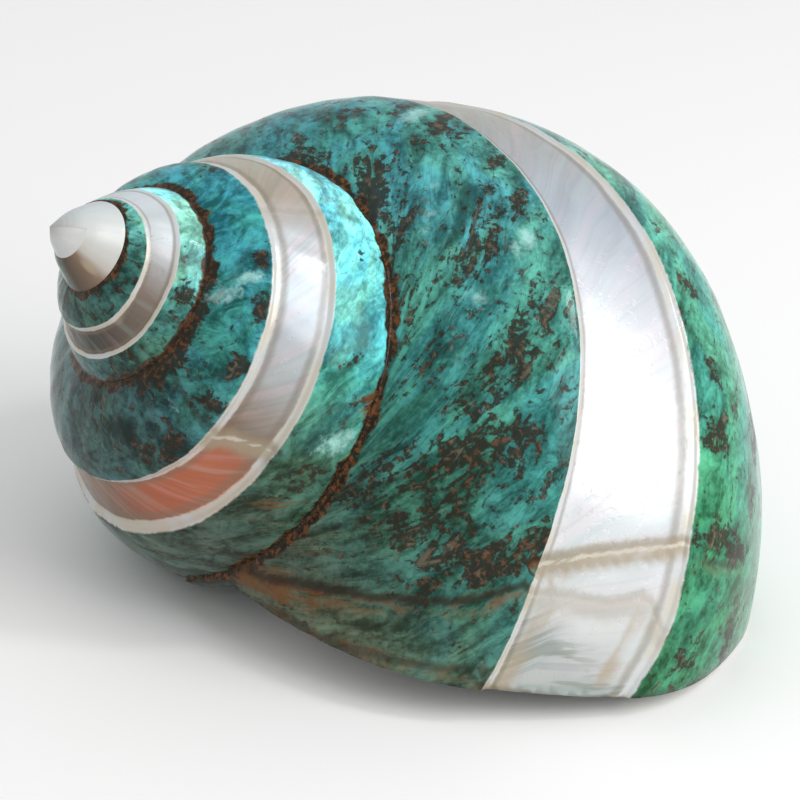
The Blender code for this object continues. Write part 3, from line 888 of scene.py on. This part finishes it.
class OuterShell(Wiring):
    """The polished outside: blue green stripes, a band of mother of pearl, dark seams."""

    def __init__(self):
        super().__init__("outer_shell")
        self.turn, self.share = self.pair("growth")
        self.across, self.along = self.pair("lines")
        self.streak = self.grown(STREAKS)
        self.mottle = self.grown(MOTTLE)
        self.cloud = self.grown(CLOUDS)
        self.ripple = self.grown(RIPPLES)
        self.grain = self.solid_noise(*GRAIN)
        self.fine = self.solid_noise(*FINE)
        self.grown_up = self.step(self.turn, *PEARL_GROWS_UP)

    def grown(self, values):
        """Noise that follows the growth lines."""
        return self.noise(self.across, self.along, *values)

    def stripes(self):
        """Streaks along the growth lines over a mottled ground, with thin dark veins."""
        tone = self.step(self.total(
            self.product(self.streak, 1.2), self.product(self.mottle, 1.3),
            self.product(self.grain, 0.5)), 1.14, 1.90)
        tint = self.step(self.grown(TINTS), 0.40, 0.60)
        # The stripe tone holds painted shade where it is dark near turns -1.9, -1.0 and 0.0
        stripe = self.colour("stripe_tone")
        stripe = self.mix(tint, self.times(stripe, BLUER), self.times(stripe, GREENER))
        light = self.mix(0.13, self.bright(stripe, 1.90), PALE_AQUA)
        stripe = self.mix(tone, self.bright(stripe, 0.42), light)
        vein = self.line(self.less(self.grown(VEINS), 0.5), 0.025, 0.025)
        return self.mix(self.product(vein, 0.35), stripe, self.bright(stripe, 0.30))

    def flecked(self, stripe):
        """Brown flecks, dark around them, with pale spots and rust. Also where brown lies."""
        marks_brown, marks_pale, marks_rust = self.parts(self.colour("marks"))
        fleck = self.grown(FLECK_SHAPES)
        spread = self.total(self.product(fleck, 1.8), self.product(self.fine, 1.3), -1.56)
        is_brown = self.step(self.total(marks_brown, spread), 0.50, 0.72)
        tone = self.mix(self.step(self.grain, 0.52, 0.70), BLACK_BROWN, RED_BROWN)
        tone = self.mix(self.product(self.step(fleck, 0.62, 0.72), 0.25), tone, SAND)
        near = self.step(self.total(marks_brown, self.product(fleck, 1.5), -0.75), 0.25, 0.75)
        stripe = self.mix(self.product(near, 0.5), stripe, self.bright(stripe, 0.25))
        stripe = self.mix(self.product(is_brown, 0.9), stripe, tone)
        pale = self.step(self.total(marks_pale, self.product(self.fine, 1.2), -0.6), 0.25, 0.95)
        stripe = self.mix(self.product(pale, 0.75), stripe, PALE_AQUA)
        lines = self.product(self.grown(RUST_LINES), 2.4)
        rust = self.step(self.total(marks_rust, lines, -1.3), 0.35, 0.8)
        return self.mix(self.product(rust, 0.75), stripe, RUST), is_brown

    def crusted(self, stripe):
        """The dark crust along the seams, widest between the middle whorls."""
        above, below = self.pair("seams")
        to_seam = self.math("MINIMUM", self.math("ABSOLUTE", above), self.math("ABSOLUTE", below))
        middle = self.less(
            self.step(self.turn, *MIDDLE_STARTS), self.step(self.turn, *MIDDLE_ENDS))
        reach = self.total(
            self.product(self.step(self.turn, *CRUST_GROWS), 1.2), self.product(middle, 0.7), 0.3)
        blobs = self.product(self.less(self.solid_noise(*BLOBS), 0.36), reach)
        crust = self.opposite(self.step(self.less(to_seam, blobs), 0.08, 0.30))
        tone = self.mix(self.step(self.fine, 0.50, 0.66), BLACK_BROWN, RED_BROWN)
        rusted = self.total(self.product(self.step(self.turn, *CRUST_RUSTS), 0.5), 0.4)
        tone = self.mix(self.product(self.step(self.grain, 0.50, 0.62), rusted), tone, RUST)
        grown = self.step(self.turn, *CRUST_STARTS)
        return self.mix(self.product(crust, grown), stripe, tone)

    def pearl(self):
        """Mother of pearl: faint colours, ripples along the growth lines, layers at the end."""
        # The pearl tone holds painted shade where it is dark near turns -1.9, -1.0 and 0.0
        pearl = self.colour("pearl_tone")
        pearl = self.bright(pearl, self.total(self.product(self.cloud, 0.40), 0.80))
        hue = self.grown(HUES)
        pink = self.product(self.step(hue, 0.52, 0.66), self.grown_up, 0.22)
        green = self.product(self.opposite(self.step(hue, 0.34, 0.48)), self.grown_up, 0.20)
        pearl = self.mix(pink, pearl, self.mix(0.5, pearl, PEARL_PINK))
        pearl = self.mix(green, pearl, self.mix(0.6, pearl, PEARL_GREEN))
        late = self.step(self.turn, *LAYERS_START)
        rippling = self.total(self.product(self.grown_up, 0.16), self.product(late, 0.35))
        rippling = self.product(self.step(self.ripple, 0.50, 0.66), rippling)
        pearl = self.mix(rippling, pearl, self.times(pearl, RIPPLE_TINT))
        layered = self.step(self.grown(LAYERS), 0.50, 0.62)
        pearl = self.mix(self.product(layered, late, 0.6), pearl, LAYER_GREY)
        # Sand brown marks, with painted shadow inside the band's bottom rim
        sand_and_shadow = self.parts(self.colour("pearl_marks"))[0]
        sand_and_shadow_mask = self.step(self.total(sand_and_shadow, self.cloud, -0.5), 0.25, 0.8)
        return self.mix(self.product(sand_and_shadow_mask, 0.7), pearl, SAND)

    def edged(self, pearl):
        """The band's pale rims, with a painted shade line beside each inside the recessed band.
        Also where mother of pearl lies.
        """
        wobble = self.total(
            self.product(self.less(self.fine, 0.5), 0.25),
            self.product(self.less(self.mottle, 0.5), 0.7))
        top, bottom = [self.total(distance, wobble) for distance in self.pair("band")]
        nearer = self.math("MINIMUM", top, bottom)
        band_there = self.step(self.turn, *BAND_STARTS)
        # Painted shade: a brown line just inside each rim of the recessed band
        groove = self.math(
            "MAXIMUM", self.line(self.less(top, 1.4), 0.35, 0.35),
            self.line(self.less(bottom, 1.5), 0.40, 0.35))
        pearl = self.mix(self.product(groove, band_there, 0.50), pearl, GROOVE_SHADE_BROWN)
        rim = self.product(self.opposite(self.step(nearer, 0.85, 1.15)), band_there, 0.85)
        pearl = self.mix(rim, pearl, self.mix(self.step(self.cloud, 0.4, 0.6), CREAM, RIM_GREY))
        in_band = self.product(self.step(nearer, -0.1, 0.15), band_there)
        tip_turn = self.total(self.turn, self.product(wobble, 0.04))
        at_tip = self.opposite(self.step(tip_turn, *TIP_PEARL_ENDS))
        on_whorl = self.opposite(self.step(self.share, 1.0, 1.02))
        return pearl, self.product(self.math("MAXIMUM", in_band, at_tip), on_whorl)

    def creased(self, colour, is_pearl):
        """Creases: a dark line, which on the pearl is painted shade in the crease, with rust past
        it on a stripe, and on the pearl a painted shade past the crease as a brown fold with a
        painted highlight along its ridge.
        """
        not_pearl = self.opposite(is_pearl)
        on_last = self.step(self.turn, *CREASES_RUST)
        # The crease line is a dark line on a stripe and painted shade in the crease on the pearl
        crease_line_and_shade_tone = self.mix(is_pearl, BLACK_BROWN, CREASE_SHADE_BROWN)
        for layer in ("crease", "more_crease"):
            offset, strength = self.pair(layer)
            offset = self.total(offset, self.product(self.less(self.fine, 0.5), 0.5))
            # Painted shade past the crease on the pearl, as a brown fold
            fold_shade = self.product(
                self.line(self.less(offset, 0.7), 0.85, 0.60), strength, is_pearl,
                self.step(self.cloud, 0.22, 0.45), 0.85)
            rusty = self.product(
                self.line(self.less(offset, 0.5), 0.6, 0.5), strength, on_last, not_pearl,
                self.step(self.streak, 0.40, 0.62), 0.8)
            dark_line_and_shade = self.product(
                self.line(offset, 0.28, 0.22), strength,
                self.total(self.product(not_pearl, 0.45), 0.45))
            # Painted highlight: a pale cream line along the fold's ridge on the pearl
            ridge_highlight = self.product(
                self.line(self.less(offset, 0.45), 0.14, 0.10), strength, is_pearl,
                self.step(self.ripple, 0.38, 0.56), 0.75)
            for part, tone in (
                    (fold_shade, FOLD_SHADE_BROWN), (rusty, RUST), (dark_line_and_shade, crease_line_and_shade_tone), (ridge_highlight, CREAM)):
                colour = self.mix(part, colour, tone)
        return colour

    def finished(self):
        """The material, with its colours, gloss and fine bumps."""
        stripe, is_brown = self.flecked(self.stripes())
        pearl, is_pearl = self.edged(self.pearl())
        colour = self.creased(self.mix(is_pearl, self.crusted(stripe), pearl), is_pearl)
        rough = self.total(0.16, self.product(is_pearl, 0.16), self.product(is_brown, 0.15))
        metal = self.product(is_pearl, self.total(self.product(self.grown_up, 0.18), 0.08))
        height = self.total(
            self.product(self.ripple, is_pearl, self.grown_up, 0.4),
            self.product(self.fine, 0.25), self.product(is_brown, -0.5))
        self.set(Base_Color=colour, Roughness=rough, Metallic=metal,
                 Normal=self.bump(height, 0.03), Specular_IOR_Level=0.09, Coat_Weight=0.18,
                 Coat_Roughness=0.05)
        return self.material


def inner_lining():
    """The smooth mother of pearl inside."""
    w = Wiring("lining")
    turn, side = w.pair("growth")
    x = w.product(turn, LINING_PER_TURN)
    y = w.product(side, LINING_AROUND)
    cloud = w.noise(x, y, 9.0, 12.0, 1.0, 3.0, 0.5, 0.6)
    hue = w.noise(x, y, 4.0, 14.0, 2.0, 2.0, 0.5, 0.5)
    ripple = w.noise(x, y, 1.0, 30.0, 3.0, 2.0, 0.5)
    pearl = w.mix(w.step(cloud, 0.35, 0.65), (0.58, 0.62, 0.64), (0.74, 0.73, 0.70))
    pearl = w.mix(w.product(w.step(hue, 0.50, 0.66), 0.30), pearl, (0.78, 0.56, 0.58))
    pearl = w.mix(w.product(w.step(hue, 0.48, 0.32), 0.30), pearl, (0.50, 0.70, 0.62))
    w.set(Base_Color=pearl, Roughness=0.24, Metallic=0.25, Normal=w.bump(ripple, 0.03),
          Coat_Weight=0.4, Coat_Roughness=0.1)
    return w.material


def mouth_edge():
    """The mouth's cut edge: layers of mother of pearl under a thin blue green skin."""
    w = Wiring("mouth_rim")
    x, y = w.object_place()
    layers = w.noise(x, y, 1.4 * MM, 1.4 * MM, 1.0, 3.0, 0.6, 1.5)
    grain = w.noise(x, y, 0.3 * MM, 0.3 * MM, 2.0, 3.0, 0.6)
    colour = w.mix(w.step(layers, 0.40, 0.62), (0.50, 0.53, 0.50), (0.66, 0.62, 0.52))
    colour = w.mix(w.product(w.step(grain, 0.5, 0.7), 0.35), colour, (0.30, 0.36, 0.32))
    w.set(Base_Color=colour, Roughness=0.38, Normal=w.bump(grain, 0.04))
    return w.material


def floor_material():
    """A plain pale floor that can be seen through from below."""
    w = Wiring("floor")
    grain = w.noise(*w.object_place(), 0.5, 0.5, 1.0, 2.0)
    colour = w.mix(grain, (0.93, 0.93, 0.93), (0.95, 0.95, 0.95))
    w.set(Base_Color=colour, Roughness=0.6)
    see_through = w.node("BsdfTransparent")
    facing = w.node("NewGeometry")
    mixed = w.node("MixShader")
    w.link(facing.outputs["Backfacing"], mixed.inputs["Fac"])
    w.link(w.shader.outputs["BSDF"], mixed.inputs[1])
    w.link(see_through.outputs["BSDF"], mixed.inputs[2])
    w.link(mixed.outputs["Shader"], w.out.inputs["Surface"])
    return w.material


outer_material = OuterShell().finished()
lining_material = inner_lining()
rim_material = mouth_edge()

shell = make_winding("turban_shell", LAST_TURN, 0.0, [outer_material])
earlier_shell = make_winding("earlier_shell_cutter", INNER_LAST_TURN, GLAZE, [outer_material])
mouth_block = make_mouth_block(rim_material)
hollow = make_hollow(lining_material)
cut(mouth_block, earlier_shell)
cut(shell, mouth_block)
cut(shell, hollow)
bpy.context.view_layer.update()
graph = bpy.context.evaluated_depsgraph_get()
final_mesh = bpy.data.meshes.new_from_object(shell.evaluated_get(graph))
shell.modifiers.clear()
shell.data = final_mesh
final_mesh.shade_smooth()
for cutter in (earlier_shell, mouth_block, hollow):
    bpy.data.objects.remove(cutter, do_unlink=True)
shell.data.transform(shell.matrix_world)
shell.matrix_world.identity()
mark_corners(final_mesh)
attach(shell, "root")
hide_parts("shell")


def make_camera():
    """The camera that sees the shell as the photograph does."""
    data = bpy.data.cameras.new("camera")
    data.lens = LENS
    data.sensor_width = SENSOR_WIDTH
    data.clip_start = NEAREST_SEEN
    camera = bpy.data.objects.new("camera", data)
    bpy.context.scene.collection.objects.link(camera)
    back = -CAMERA_LOOK.normalized()
    right = CAMERA_UP.cross(back).normalized()
    up = back.cross(right)
    turned = Matrix((right, up, back)).transposed().to_4x4()
    camera.matrix_world = Matrix.Translation(Vector(CAMERA_PLACE) * MM) @ turned
    bpy.context.scene.camera = camera


def make_light(name, heading, rise, size, power):
    """A square light that looks at the shell from a heading and a rise in degrees."""
    data = bpy.data.lights.new(name, "AREA")
    data.shape = "RECTANGLE"
    data.size, data.size_y = size
    data.energy = power
    light = bpy.data.objects.new(name, data)
    bpy.context.scene.collection.objects.link(light)
    level = math.cos(math.radians(rise))
    towards = Vector((
        math.sin(math.radians(heading)) * level, -math.cos(math.radians(heading)) * level,
        math.sin(math.radians(rise))))
    light.location = towards * LIGHT_DISTANCE
    light.rotation_euler = towards.to_track_quat("Z", "Y").to_euler()


make_camera()
bpy.ops.mesh.primitive_plane_add(size=FLOOR_SIZE, location=(0, 0, -FLOOR_DROP))
floor = bpy.context.object
floor.name = "floor"
floor.data.materials.append(floor_material())

world = bpy.data.worlds.new("studio")
bpy.context.scene.world = world
world.use_nodes = True
world.node_tree.nodes["Background"].inputs["Color"].default_value = (1.0, 1.0, 1.0, 1.0)
world.node_tree.nodes["Background"].inputs["Strength"].default_value = WORLD_STRENGTH
for light_name, heading, rise, size, power in LIGHTS:
    make_light(light_name, heading, rise, size, power)
bpy.context.scene.view_settings.view_transform = "Standard"
